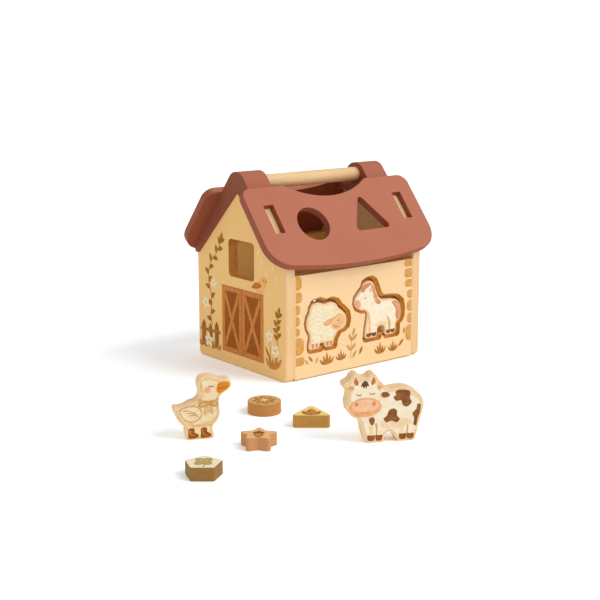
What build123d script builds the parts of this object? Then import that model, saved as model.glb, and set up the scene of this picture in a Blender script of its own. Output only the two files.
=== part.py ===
from build123d import *
import math
import os

os.makedirs("parts", exist_ok=True)

# All lengths are millimetres. +X runs along the ridge, the panel with the
# sheep and the horse faces -Y, and the house stands on z = 0.

# The house: two gable boards with everything else hung between them.
house_length = 192.0
house_width = 160.0
board = 12.0
wall_height = 112.0
gable_face = house_length / 2
inner_face = gable_face - board
side_face = house_width / 2

# The roof: plates laid on 51 degree slopes that would meet above the ridge.
# The gable shoulders stand this far above the panels.
roof_pitch = 51.0
pitch = math.radians(roof_pitch)
shoulder_rise = 12.208
roof_peak = wall_height + shoulder_rise + side_face * math.tan(pitch)
roof_plate_thickness = 8.0
roof_overhang = 20.0
eave_overhang = 12.3
roof_top_half_gap = 23.5
rear_plate_drop = 6.0
roof_length_down = (side_face - roof_top_half_gap) / math.cos(pitch) + eave_overhang
roof_lower_bow = 600.0
roof_lower_corner = 28.0
roof_upper_corner = 12.0
scallop_half_width = 57.0
scallop_centre_x = -2.5
scallop_depth = 17.6
rear_scallop_depth = 8.6
scallop_end_radius = 8.0
edge_ease = 1.0

# Ridge blocks, seated on the gables' flat tops, and the round carrying handle
# held between them.
glue_gap = 0.02
ridge_seat = roof_peak - roof_top_half_gap * math.tan(pitch) + glue_gap
ridge_block_rise = 19.0
ridge_tail_drop = 14.0
ridge_block_depth = 28.3
ridge_top_radius = 16.0
ridge_top = ridge_seat + ridge_block_rise
ridge_tail_low = ridge_seat - ridge_tail_drop
ridge_inner_face = gable_face - ridge_block_depth
handle_diameter = 15.5
handle_rise = 6.3
handle_height = ridge_seat + handle_rise
handle_socket_depth = 15.0

# Thin painted trim along both slopes of each gable.
trim_thickness = 2.5
trim_peak_drop = 31.0
trim_inner_peak = roof_peak - trim_peak_drop
trim_end_depth = 12.2
trim_front_short = 12.0
trim_end_radius = 4.0

# Gable openings and joints.
window_width = 46.0
window_height = 41.0
window_centre_y = -3.8
window_rise = 7.6
window_centre_z = wall_height + window_rise
window_corner = 4.5
gable_foot_radius = 6.0
gable_edge_round = 3.0
slot_width = 12.8
slot_length = 34.3
slot_centre_down = 76.7
tenon_rise = 1.5
tenon_root = 6.0
fit = 0.4

# Floor, rear panel and the hinged front panel.
floor_thickness = 10.0
floor_front_gap = 0.3
flap_side_gap = 0.3
flap_low = 1.5
flap_top_gap = 0.5
flap_top = wall_height - flap_top_gap
hinge_drop = 6.0
hinge_height = wall_height - hinge_drop
hinge_pin_diameter = 4.0
hinge_pin_length = 18.0
hinge_socket = 8.0
flap_socket = 10.5
pin_clearance = 0.05

# Hidden joinery.
dowel_diameter = 6.0
dowel_socket_in_gable = 8.0
dowel_socket_in_board = 16.0
dowel_end_gap = 0.2
panel_dowel_low = 6.0
panel_dowel_drop = 8.0
floor_dowel_spread = 40.0
screw_diameter = 3.5
screw_head_diameter = 7.0
screw_head_height = 2.2
screw_end_cover = 4.3
screw_length = ridge_block_depth - screw_end_cover
screw_spread = 19.0
screw_height = ridge_seat - ridge_tail_drop / 2

# Play pieces.
animal_thickness = 15.0
animal_recess = 2.0
throat_play = 1.8
throat_floor_gap = 0.3
relief_ring = 4.5
relief_depth = 4.0
feet_height = 29.5
sheep_x = -39.3
horse_x = 34.0
rear_feet_height = 13.5
rear_panel_gap = 0.2
cow_x = 37.0
duck_x = -46.0
block_thickness = 12.0
block_play = 4.0
block_ease = 0.8
circle_radius = 16.0
triangle_apothem = 11.1
triangle_corner = 3.0
pentagon_apothem = 13.4
pentagon_corner = 2.0
star_tip_radius = 19.4
star_notch_radius = 10.2
star_corner = 2.6
hole_corner = 4.0
left_hole_x = -43.4
right_hole_x = 34.5
star_hole_x = -8.0
pentagon_hole_x = 48.0
hole_down = 87.1

# Where the loose pieces stand or lie beside the house, and how far each is
# turned about +Z in degrees.
duck_place = (-261.1, -171.4)
duck_angle = -25.1
cow_place = (-140.7, -278.6)
cow_angle = -27.2
circle_place = (-170.8, -142.1)
star_place = (-234.3, -217.8)
pentagon_place = (-312.5, -247.3)
triangle_place = (-159.4, -198.9)
block_angle = -38.8

# Animal outlines seen from the printed side: across, up, and a corner radius
# where the corner isn't rounded as far as its neighbours allow.
foot = 4.0
small_foot = 2.0
widest_corner = 9.0
sheep_outline = [
    (-24, 0, foot), (-9.5, 0, foot), (-8.8, 5.5), (-5.7, 6), (-3, 5), (-2.2, 0, foot),
    (9, 0, foot), (10.2, 7.4), (16.4, 16), (22, 16.7), (26.9, 19.7), (28.3, 26),
    (26.9, 32.5), (20.6, 38.3), (17, 40.6), (12.9, 46.3), (6, 48.8), (-2.6, 47.2),
    (-10.8, 50.2), (-19.8, 48.9), (-23, 44), (-23.3, 40), (-26.8, 35), (-28, 29),
    (-26.6, 22.4), (-23.3, 17.7), (-22.7, 12.4), (-24.5, 5),
]
horse_outline = [
    (-19.5, 0, foot), (-0.2, 0, foot), (-0.2, 9.5), (2.7, 12.2), (10.2, 11.5),
    (10.5, 0, foot), (27.2, 0, foot), (27.6, 12.8), (32, 14.8), (34.4, 19),
    (34.7, 27), (33, 34.5), (27.2, 39), (18.2, 40.8), (5.5, 41.5), (0.5, 45.3),
    (-6.8, 61.6), (-11, 64.4), (-17, 64.2), (-22.7, 61.5),
    (-24.3, 56.3), (-29.8, 51.7), (-34, 47), (-35, 41.7), (-32.7, 36.5),
    (-25.5, 33), (-18.4, 32.2), (-15.6, 29), (-16.2, 22.7), (-18.4, 12.2),
]
cow_outline = [
    (-17.3, 0, foot), (-20.5, 10.4), (-21.9, 17.7), (-24.7, 22.3), (-30.3, 25),
    (-34.4, 29.7), (-35.6, 36.5), (-34.2, 42.7), (-33.7, 47.2), (-37.2, 49.9),
    (-38.6, 53.4), (-36.8, 56.2), (-33.1, 57.1), (-30.7, 61.4), (-27.5, 63.9),
    (-24.2, 63), (-21.9, 59.7), (-17.3, 59.4), (-14, 62.4), (-10.8, 63.4), (-8, 61),
    (-6.1, 56.8), (-2.4, 53.9), (-0.1, 50.2), (3.2, 47.9), (7.8, 49), (15.2, 49.6),
    (21.7, 48.5), (28.2, 45.2), (32.9, 40.8), (35.6, 33.2), (33.8, 24.8),
    (30.5, 13.3), (28.7, 4.4), (27.3, 0, small_foot), (11.5, 0, small_foot), (8.7, 4.9), (5.9, 8.8),
    (2.2, 9.3), (0.2, 6.8), (-1, 0, small_foot),
]
duck_outline = [
    (-14.6, 0, small_foot), (-15.6, 5.9), (-15.8, 11.3), (-18.9, 14.3), (-23.1, 19.5),
    (-26.1, 26.1), (-25.9, 30.3), (-21.7, 29.6), (-16.5, 30.8), (-11.8, 33.2),
    (-6.1, 35), (-3.3, 38), (-2.8, 42), (-4, 46.6), (-4.2, 51.2), (-2.5, 55.3),
    (0.8, 56.7), (5.2, 57.6), (9.9, 56.8), (17, 53.3), (21.2, 54.1),
    (25, 52.6), (26.4, 49.3), (25, 45.8), (17.5, 40.5), (14.9, 37.2),
    (14.2, 33.5), (15.6, 23.9), (14.6, 19), (12.1, 14.8), (8.8, 12.2),
    (8.6, 8.6), (9.9, 4), (9.7, 0, small_foot),
]

# A corner is picked when it lies this close to its expected place.
near = 0.01


def corner_radius(before, corner, after):
    """Largest comfortable radius for one corner of a silhouette."""
    run_in = (corner[0] - before[0], corner[1] - before[1])
    run_out = (after[0] - corner[0], after[1] - corner[1])
    turn = math.atan2(
        run_in[0] * run_out[1] - run_in[1] * run_out[0],
        run_in[0] * run_out[0] + run_in[1] * run_out[1],
    )
    shorter = min(math.hypot(*run_in), math.hypot(*run_out))
    room = 0.46 * shorter / math.tan(abs(turn) / 2)
    wanted = corner[2] if len(corner) > 2 else widest_corner
    return min(room, wanted)


def silhouette(outline):
    """Closed face of a rounded outline, drawn about its feet line."""
    count = len(outline)
    radii = [
        corner_radius(outline[i - 1], outline[i], outline[(i + 1) % count])
        for i in range(count)
    ]
    with BuildSketch() as drawn:
        with BuildLine():
            FilletPolyline(*[p[:2] for p in outline], radius=radii, close=True)
        make_face()
    return drawn.sketch


def straight_face(outline):
    """The same outline with its corners left sharp."""
    with BuildSketch() as drawn:
        Polygon(*[p[:2] for p in outline], align=None)
    return drawn.sketch


def grown(shape, growth, gap_fill=None):
    """The shape made larger all round, with the gap between legs filled."""
    with BuildSketch() as drawn:
        add(shape)
        if gap_fill:
            low, high, left, right = gap_fill
            with Locations(((left + right) / 2, (low + high) / 2)):
                Rectangle(right - left, high - low)
        offset(amount=growth, kind=Kind.ARC)
    return drawn.sketch


def star_face():
    """Five-pointed star with sharp corners, one point along +Y."""
    points = []
    for i in range(10):
        reach = star_tip_radius if i % 2 == 0 else star_notch_radius
        angle = math.radians(90 + 36 * i)
        points.append((reach * math.cos(angle), reach * math.sin(angle)))
    with BuildSketch() as drawn:
        Polygon(*points, align=None)
    return drawn.sketch


def polygon_face(apothem, sides, corner):
    """Regular polygon with one corner along +Y and rounded corners."""
    with BuildSketch() as drawn:
        RegularPolygon(apothem, sides, major_radius=False, rotation=90)
        fillet(drawn.vertices(), corner)
    return drawn.sketch


def slope_z(y):
    """Height of the roof slope at a given y."""
    return roof_peak - abs(y) * math.tan(pitch)


def slope_point(down, above, side):
    """Point in the gable plane, down the slope from the peak and above it."""
    y = down * math.cos(pitch) + above * math.sin(pitch)
    z = roof_peak - down * math.sin(pitch) + above * math.cos(pitch)
    return (side * y, z)


def half_width(z):
    """Half width between the two slopes at a height."""
    return (roof_peak - z) / math.tan(pitch)


# Shared faces of the play pieces and of the holes they go through.
sheep_face = silhouette(sheep_outline)
horse_face = silhouette(horse_outline)
cow_face = silhouette(cow_outline)
duck_face = silhouette(duck_outline)
sheep_gap = (3.2, 12, -9.2, -2.4)
horse_gap = (4.2, 14, -1, 11.5)
cow_gap = (4.0, 12, -2, 10)
triangle_face = polygon_face(triangle_apothem, 3, triangle_corner)
pentagon_face = polygon_face(pentagon_apothem, 5, pentagon_corner)
star_shape = star_face()
with BuildSketch() as circle_drawn:
    Circle(circle_radius)
circle_face = circle_drawn.sketch
with BuildSketch() as star_drawn:
    add(star_shape)
    fillet(star_drawn.vertices(), star_corner)
star_block_face = star_drawn.sketch

with BuildSketch() as circle_hole_drawn:
    Circle(circle_radius + block_play)
circle_hole = circle_hole_drawn.sketch
triangle_hole = polygon_face(triangle_apothem + block_play, 3, hole_corner)
pentagon_hole = polygon_face(pentagon_apothem + block_play, 5, hole_corner)
star_hole = grown(star_shape, block_play)


def bar(x_from, x_to, y, z, radius):
    """Plain round bar along X, used for pins, dowels and the holes for them."""
    low, high = min(x_from, x_to), max(x_from, x_to)
    return Solid.make_cylinder(radius, high - low, Plane((low, y, z), z_dir=(1, 0, 0)))


hinge_y = -side_face + board / 2
panel_dowels = [
    (side_face - board / 2, panel_dowel_low),
    (side_face - board / 2, wall_height - panel_dowel_drop),
]
floor_dowels = [
    (-floor_dowel_spread, floor_thickness / 2),
    (floor_dowel_spread, floor_thickness / 2),
]
dowel_places = panel_dowels + floor_dowels
screw_places = [(-screw_spread, screw_height), (screw_spread, screw_height)]
hole_fit = dowel_diameter / 2 + pin_clearance


def gable_wall(side, window):
    """Gable board with its roof tenons and blind joint holes, and maybe a window."""
    start = -gable_face if side < 0 else inner_face
    inner_x = side * inner_face
    shoulder = slope_z(side_face)
    top = roof_top_half_gap
    with BuildPart() as wall:
        with BuildSketch(Plane.YZ.offset(start)):
            Polygon(
                (-side_face, 0), (side_face, 0), (side_face, shoulder),
                (top, slope_z(top)), (-top, slope_z(top)), (-side_face, shoulder),
                align=None,
            )
        extrude(amount=board)
        fillet(wall.edges().filter_by(Axis.X).group_by(Axis.Z)[0], gable_foot_radius)
        outer_corners = wall.edges().filter_by(Axis.Z).group_by(Axis.X)
        fillet(outer_corners[0 if side < 0 else -1], gable_edge_round)
        with BuildSketch(Plane.YZ.offset(start)):
            half = slot_length / 2 - fit
            for way in (-1, 1):
                Polygon(
                    slope_point(slot_centre_down - half, -tenon_root, way),
                    slope_point(slot_centre_down + half, -tenon_root, way),
                    slope_point(slot_centre_down + half, tenon_rise, way),
                    slope_point(slot_centre_down - half, tenon_rise, way),
                    align=None,
                )
        extrude(amount=board)
        if window:
            with BuildSketch(Plane.YZ.offset(start)):
                with Locations((window_centre_y, window_centre_z)):
                    RectangleRounded(window_width, window_height, window_corner)
            extrude(amount=board, mode=Mode.SUBTRACT)
        pin_end = inner_x + side * hinge_socket
        pin_hole = hinge_pin_diameter / 2 + pin_clearance
        add(bar(inner_x, pin_end, hinge_y, hinge_height, pin_hole), mode=Mode.SUBTRACT)
        for y, z in dowel_places:
            end = inner_x + side * dowel_socket_in_gable
            add(bar(inner_x, end, y, z, hole_fit), mode=Mode.SUBTRACT)
        for y, z in screw_places:
            start_x = side * ridge_inner_face
            end = start_x + side * (screw_length + fit)
            radius = screw_diameter / 2 + pin_clearance
            add(bar(start_x, end, y, z, radius), mode=Mode.SUBTRACT)
    return wall


def gable_trim(side):
    """Painted strip that follows both slopes on the outer face of a gable."""
    start = gable_face if side > 0 else -gable_face - trim_thickness
    crown = half_width(ridge_top)
    front = side_face - trim_front_short
    end_low = slope_z(side_face) - trim_end_depth
    front_low = end_low + (trim_inner_peak - end_low) * trim_front_short / side_face
    with BuildPart() as trim:
        with BuildSketch(Plane.YZ.offset(start)) as drawn:
            Polygon(
                (-front, slope_z(front)), (-crown, ridge_top), (crown, ridge_top),
                (side_face, slope_z(side_face)), (side_face, end_low),
                (0, trim_inner_peak), (-front, front_low),
                align=None,
            )
            corners = drawn.vertices()
            fillet(corners.group_by(Axis.Y)[-1], ridge_top_radius)
            ends = drawn.vertices().filter_by(
                lambda v: v.X < near - front or v.X > side_face - near
            )
            fillet(ends, trim_end_radius)
        extrude(amount=trim_thickness)
    return trim


def ridge_block(side):
    """Rounded block on top of a gable, with a tail down its inner face."""
    crown = half_width(ridge_top)
    seat = half_width(ridge_seat)
    low = half_width(ridge_tail_low)
    start = ridge_inner_face if side > 0 else -gable_face
    tail_start = ridge_inner_face if side > 0 else -inner_face
    with BuildPart() as block:
        with BuildSketch(Plane.YZ.offset(start)) as upper:
            Polygon(
                (-seat, ridge_seat), (-crown, ridge_top), (crown, ridge_top),
                (seat, ridge_seat), align=None,
            )
            fillet(upper.vertices().group_by(Axis.Y)[-1], ridge_top_radius)
        extrude(amount=gable_face - ridge_inner_face)
        with BuildSketch(Plane.YZ.offset(tail_start)):
            Polygon(
                (-low, ridge_tail_low), (-seat, ridge_seat), (seat, ridge_seat),
                (low, ridge_tail_low), align=None,
            )
        extrude(amount=inner_face - ridge_inner_face)
        face_x = side * ridge_inner_face
        socket = face_x + side * handle_socket_depth
        radius = handle_diameter / 2 + pin_clearance
        add(bar(face_x, socket, 0, handle_height, radius), mode=Mode.SUBTRACT)
        for y, z in screw_places:
            add(screw_solid(side, y, z, pin_clearance), mode=Mode.SUBTRACT)
    return block


def screw_solid(side, y, z, growth):
    """Countersunk screw driven outwards from the inner face of a ridge tail."""
    face_x = side * ridge_inner_face
    end = face_x + side * (screw_length + growth)
    shank = bar(face_x, end, y, z, screw_diameter / 2 + growth)
    head = Solid.make_cone(
        screw_head_diameter / 2 + growth, screw_diameter / 2 + growth,
        screw_head_height, Plane((face_x, y, z), z_dir=(side, 0, 0)),
    )
    return shank + head


def handle():
    """Plain round stick the house is carried by."""
    reach = ridge_inner_face + handle_socket_depth - dowel_end_gap
    with BuildPart() as stick:
        add(bar(-reach, reach, 0, handle_height, handle_diameter / 2))
    return stick


def roof_plate(side, holes, top_drop, dip):
    """One roof plate, drawn on its underside with +Y up the slope."""
    underside = Plane(
        origin=(0, 0, roof_peak),
        x_dir=(-side, 0, 0),
        z_dir=(0, side * math.sin(pitch), math.cos(pitch)),
    )
    end_x = gable_face + roof_overhang
    top = -roof_top_half_gap / math.cos(pitch) - top_drop
    bottom = top_drop + top - roof_length_down
    drop = roof_lower_bow - math.sqrt(roof_lower_bow**2 - end_x**2)
    scallop_x = -side * scallop_centre_x
    scallop_radius = (scallop_half_width**2 + dip**2) / (2 * dip)
    with BuildPart() as plate:
        with BuildSketch(underside) as drawn:
            with BuildLine():
                Line((end_x, bottom + drop), (end_x, top))
                Line((end_x, top), (-end_x, top))
                Line((-end_x, top), (-end_x, bottom + drop))
                ThreePointArc((-end_x, bottom + drop), (0, bottom), (end_x, bottom + drop))
            make_face()
            with Locations((scallop_x, top + scallop_radius - dip)):
                Circle(scallop_radius, mode=Mode.SUBTRACT)
            rim = drawn.vertices().group_by(Axis.Y)[-1].sort_by(Axis.X)
            fillet([rim[0], rim[-1]], roof_upper_corner)
            rim = drawn.vertices().filter_by(
                lambda v: abs(abs(v.X - scallop_x) - scallop_half_width) < near and v.Y > top - near
            )
            fillet(rim, scallop_end_radius)
            fillet(drawn.vertices().group_by(Axis.Y)[0], roof_lower_corner)
            with Locations(
                (inner_face + board / 2, -slot_centre_down),
                (-inner_face - board / 2, -slot_centre_down),
            ):
                Rectangle(slot_width, slot_length, mode=Mode.SUBTRACT)
            for x, hole in holes:
                with Locations((x, -hole_down)):
                    add(hole, mode=Mode.SUBTRACT)
        extrude(amount=roof_plate_thickness)
        outer = plate.faces().filter_by(underside).sort_by(Axis.Z)[-1]
        fillet(outer.outer_wire().edges(), edge_ease)
    return plate


def floor_board():
    """Bottom board between the gables; its front edge stops the flap."""
    front = -side_face + board + floor_front_gap
    back = side_face - board
    with BuildPart() as floor:
        with BuildSketch():
            with Locations((0, (front + back) / 2)):
                Rectangle(2 * inner_face, back - front)
        extrude(amount=floor_thickness)
        for way in (-1, 1):
            for y, z in floor_dowels:
                end = way * (inner_face - dowel_socket_in_board)
                add(bar(way * inner_face, end, y, z, hole_fit), mode=Mode.SUBTRACT)
    return floor


def panel_with_openings(plane, low, high, half_length, bores, openings):
    """Side panel drawn on its outer face, bored at its ends, cut for two animals."""
    with BuildPart() as panel:
        with BuildSketch(plane):
            with Locations((0, (low + high) / 2)):
                Rectangle(2 * half_length, high - low)
        extrude(amount=-board)
        for y, z, depth, radius in bores:
            for way in (-1, 1):
                end_x = way * (half_length - depth)
                add(bar(way * half_length, end_x, y, z, radius), mode=Mode.SUBTRACT)
        for throat, relief in openings:
            with BuildSketch(plane):
                add(throat)
            extrude(amount=-board, mode=Mode.SUBTRACT)
            with BuildSketch(plane):
                add(relief)
            extrude(amount=-relief_depth, mode=Mode.SUBTRACT)
    return panel


def opening_faces(centre_x, feet, outline, gap):
    """Throat and relief faces for one animal, placed on its panel."""
    lift = feet + throat_play - throat_floor_gap
    place = Location((centre_x, lift))
    throat = grown(straight_face(outline), throat_play, gap)
    relief = grown(straight_face(outline), relief_ring, gap)
    return throat.moved(place), relief.moved(place)


def animal_piece(plane, face):
    """Flat animal with eased edges; the plane lies on its printed face."""
    with BuildPart() as piece:
        with BuildSketch(plane):
            add(face)
        extrude(amount=-animal_thickness)
        fillet(piece.faces().filter_by(plane).edges(), edge_ease)
    return piece


def sorting_block(place, face):
    """Flat block with eased edges, lying on the table."""
    plane = lying_plane(place, block_angle)
    with BuildPart() as piece:
        with BuildSketch(plane):
            add(face)
        extrude(amount=-block_thickness)
        fillet(piece.faces().filter_by(plane).edges(), block_ease)
    return piece


def panel_plane(centre_x):
    """Printed face of an animal parked in the front panel."""
    front = (centre_x, animal_recess - side_face, feet_height)
    return Plane(origin=front, x_dir=(1, 0, 0), z_dir=(0, -1, 0))


def standing_plane(place, turn):
    """Upright plane on the table for a loose animal, facing the viewer."""
    x, y = place
    angle = math.radians(turn)
    return Plane(
        origin=(x, y, 0),
        x_dir=(math.cos(angle), math.sin(angle), 0),
        z_dir=(math.sin(angle), -math.cos(angle), 0),
    )


def lying_plane(place, turn):
    """Plane on top of a block that lies flat on the table."""
    x, y = place
    angle = math.radians(turn)
    return Plane(
        origin=(x, y, block_thickness),
        x_dir=(math.cos(angle), math.sin(angle), 0),
        z_dir=(0, 0, 1),
    )


left_gable_wall = gable_wall(-1, True)
right_gable_wall = gable_wall(1, False)
left_gable_trim = gable_trim(-1)
right_gable_trim = gable_trim(1)
left_ridge_block = ridge_block(-1)
right_ridge_block = ridge_block(1)
handle_dowel = handle()
front_holes = [(left_hole_x, circle_hole), (right_hole_x, triangle_hole)]
rear_holes = [(star_hole_x, star_hole), (pentagon_hole_x, pentagon_hole)]
front_roof_plate = roof_plate(-1, front_holes, 0, scallop_depth)
rear_roof_plate = roof_plate(1, rear_holes, rear_plate_drop, rear_scallop_depth)
floor = floor_board()

front_plane = Plane.XZ.offset(side_face)
rear_plane = Plane(origin=(0, side_face, 0), x_dir=(-1, 0, 0), z_dir=(0, 1, 0))
pin_hole_radius = hinge_pin_diameter / 2 + pin_clearance
front_flap = panel_with_openings(
    front_plane, flap_low, flap_top, inner_face - flap_side_gap,
    [(hinge_y, hinge_height, flap_socket, pin_hole_radius)],
    [opening_faces(sheep_x, feet_height, sheep_outline, sheep_gap),
     opening_faces(horse_x, feet_height, horse_outline, horse_gap)],
)
rear_panel = panel_with_openings(
    rear_plane, 0, slope_z(side_face) - rear_panel_gap, inner_face,
    [(y, z, dowel_socket_in_board, hole_fit) for y, z in panel_dowels],
    [opening_faces(duck_x, rear_feet_height, duck_outline, None),
     opening_faces(cow_x, rear_feet_height, cow_outline, cow_gap)],
)

with BuildPart() as flap_hinge_pins:
    for way in (-1, 1):
        outer_end = way * (inner_face + hinge_socket - dowel_end_gap)
        inner_end = outer_end - way * hinge_pin_length
        add(bar(outer_end, inner_end, hinge_y, hinge_height, hinge_pin_diameter / 2))

with BuildPart() as wall_dowels:
    for way in (-1, 1):
        for y, z in dowel_places:
            outer_end = way * (inner_face + dowel_socket_in_gable - dowel_end_gap)
            inner_end = way * (inner_face - dowel_socket_in_board + dowel_end_gap)
            add(bar(outer_end, inner_end, y, z, dowel_diameter / 2))

with BuildPart() as ridge_screws:
    for way in (-1, 1):
        for y, z in screw_places:
            add(screw_solid(way, y, z, 0))

sheep = animal_piece(panel_plane(sheep_x), sheep_face)
horse = animal_piece(panel_plane(horse_x), horse_face)
cow = animal_piece(standing_plane(cow_place, cow_angle), cow_face)
duck = animal_piece(standing_plane(duck_place, duck_angle), duck_face)
circle_block = sorting_block(circle_place, circle_face)
star_block = sorting_block(star_place, star_block_face)
triangle_block = sorting_block(triangle_place, triangle_face)
pentagon_block = sorting_block(pentagon_place, pentagon_face)

left_gable_wall.part.label = "left_gable_wall"
export_step(left_gable_wall.part, "parts/left_gable_wall.step")
right_gable_wall.part.label = "right_gable_wall"
export_step(right_gable_wall.part, "parts/right_gable_wall.step")
left_gable_trim.part.label = "left_gable_trim"
export_step(left_gable_trim.part, "parts/left_gable_trim.step")
right_gable_trim.part.label = "right_gable_trim"
export_step(right_gable_trim.part, "parts/right_gable_trim.step")
left_ridge_block.part.label = "left_ridge_block"
export_step(left_ridge_block.part, "parts/left_ridge_block.step")
right_ridge_block.part.label = "right_ridge_block"
export_step(right_ridge_block.part, "parts/right_ridge_block.step")
handle_dowel.part.label = "handle_dowel"
export_step(handle_dowel.part, "parts/handle_dowel.step")
front_roof_plate.part.label = "front_roof_plate"
export_step(front_roof_plate.part, "parts/front_roof_plate.step")
rear_roof_plate.part.label = "rear_roof_plate"
export_step(rear_roof_plate.part, "parts/rear_roof_plate.step")
floor.part.label = "floor_board"
export_step(floor.part, "parts/floor_board.step")
rear_panel.part.label = "rear_panel"
export_step(rear_panel.part, "parts/rear_panel.step")
front_flap.part.label = "front_flap"
export_step(front_flap.part, "parts/front_flap.step")
flap_hinge_pins.part.label = "flap_hinge_pins"
export_step(flap_hinge_pins.part, "parts/flap_hinge_pins.step")
wall_dowels.part.label = "wall_dowels"
export_step(wall_dowels.part, "parts/wall_dowels.step")
ridge_screws.part.label = "ridge_screws"
export_step(ridge_screws.part, "parts/ridge_screws.step")
sheep.part.label = "sheep"
export_step(sheep.part, "parts/sheep.step")
horse.part.label = "horse"
export_step(horse.part, "parts/horse.step")
cow.part.label = "cow"
export_step(cow.part, "parts/cow.step")
duck.part.label = "duck"
export_step(duck.part, "parts/duck.step")
circle_block.part.label = "circle_block"
export_step(circle_block.part, "parts/circle_block.step")
star_block.part.label = "star_block"
export_step(star_block.part, "parts/star_block.step")
triangle_block.part.label = "triangle_block"
export_step(triangle_block.part, "parts/triangle_block.step")
pentagon_block.part.label = "pentagon_block"
export_step(pentagon_block.part, "parts/pentagon_block.step")
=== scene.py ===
import math

import bmesh
import bpy
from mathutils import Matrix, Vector


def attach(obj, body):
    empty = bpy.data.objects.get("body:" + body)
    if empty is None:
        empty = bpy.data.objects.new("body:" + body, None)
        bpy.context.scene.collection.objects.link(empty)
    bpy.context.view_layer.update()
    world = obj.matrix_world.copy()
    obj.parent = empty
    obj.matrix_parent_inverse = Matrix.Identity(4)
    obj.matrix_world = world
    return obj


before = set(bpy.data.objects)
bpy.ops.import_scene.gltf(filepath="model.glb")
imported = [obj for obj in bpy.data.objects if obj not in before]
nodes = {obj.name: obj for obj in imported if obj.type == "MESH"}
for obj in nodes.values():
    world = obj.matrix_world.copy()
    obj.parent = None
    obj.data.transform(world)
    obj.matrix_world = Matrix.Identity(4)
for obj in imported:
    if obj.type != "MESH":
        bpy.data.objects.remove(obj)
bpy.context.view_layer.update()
MM = 0.001
UP = (0, 0, 1)

# Places that the CAD gives, in millimetres, and turns about the vertical, in degrees.
GABLE_FACE = 96
PANEL_FACE = 80
PANEL_HALF = 82.7
FLAP_PIECE_ACROSS = (1, 0, 0)
SHEEP_PLACE = (-39.3, -78, 29.5)
HORSE_PLACE = (34.0, -78, 29.5)
COW_PLACE, COW_TURN = (-140.7, -278.6, 0), -27.2
DUCK_PLACE, DUCK_TURN = (-261.1, -171.4, 0), -25.1
BLOCK_TOP, BLOCK_TURN = 12, -38.8
MOTIF_STRETCH = (1.2, 1.35)

# Parts of the boards that a material picks out, in metres.
WINDOW_Y = (-0.0272, 0.0196)
WINDOW_Z = (0.0987, 0.1405)
PANEL_DEPTH = (0.0684, 0.0796)
PANEL_END, PANEL_END_SOFT = 0.0795, 0.0805
PANEL_FOOT_SOFT, PANEL_FOOT = 0.006, 0.008
PANEL_TOP, PANEL_TOP_SOFT = 0.1075, 0.1085

# The gables get less light than the other sides, so their colours are divided by these.
GABLE_LIGHT = 0.8
FAR_PRINT_LIGHT = 0.9

# Heights of the printed shapes over the wood, in millimetres.
INK_LIFT = 0.1
LAYER_STEP = 0.05
SHAPE_STEP = 0.004
SHAPE_STEPS = 12


def rgb(red, green, blue, light=1.0):
    """Linear colour from sRGB 0..255; a light below 1 brightens it and keeps its hue."""
    out = []
    for value in (red, green, blue):
        value = value / 255
        linear = value / 12.92 if value <= 0.04045 else ((value + 0.055) / 1.055) ** 2.4
        out.append(linear / light)
    top = max(1.0, *out)
    return (out[0] / top, out[1] / top, out[2] / top, 1.0)


def linked(data):
    """New object of the scene, under its data's name."""
    made = bpy.data.objects.new(data.name, data)
    bpy.context.scene.collection.objects.link(made)
    return made


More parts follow.
